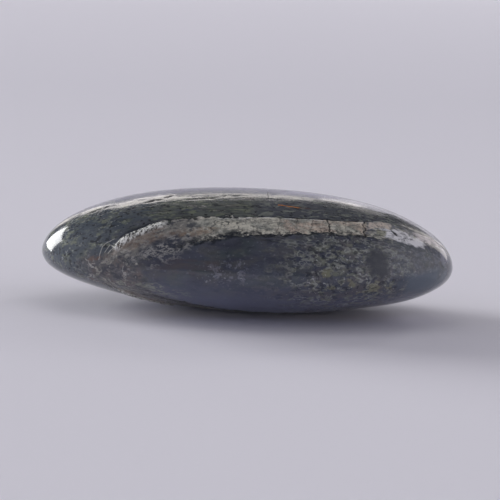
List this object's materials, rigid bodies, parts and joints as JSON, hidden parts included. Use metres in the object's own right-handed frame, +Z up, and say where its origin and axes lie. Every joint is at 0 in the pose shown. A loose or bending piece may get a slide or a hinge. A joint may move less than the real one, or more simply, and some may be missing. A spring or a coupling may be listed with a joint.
{
  "type": "polished serpentine palm stone",
  "caption": "Hand-polished oval serpentine stone, dark green-black with a pale cracked vein, resting on a small flat under its keel.",
  "frame": {"origin": "on the ground under the middle of the stone's outline, at the level of its resting flat", "axes": "+X along the length towards the fuller end, +Y across the width, +Z up through the crown"},
  "size_m": [0.0654, 0.041, 0.0189],
  "materials": {
    "polished_serpentine": "polished"
  },
  "bodies": {
    "root": {"serpentine_stone": "polished_serpentine"}
  },
  "joints": []
}
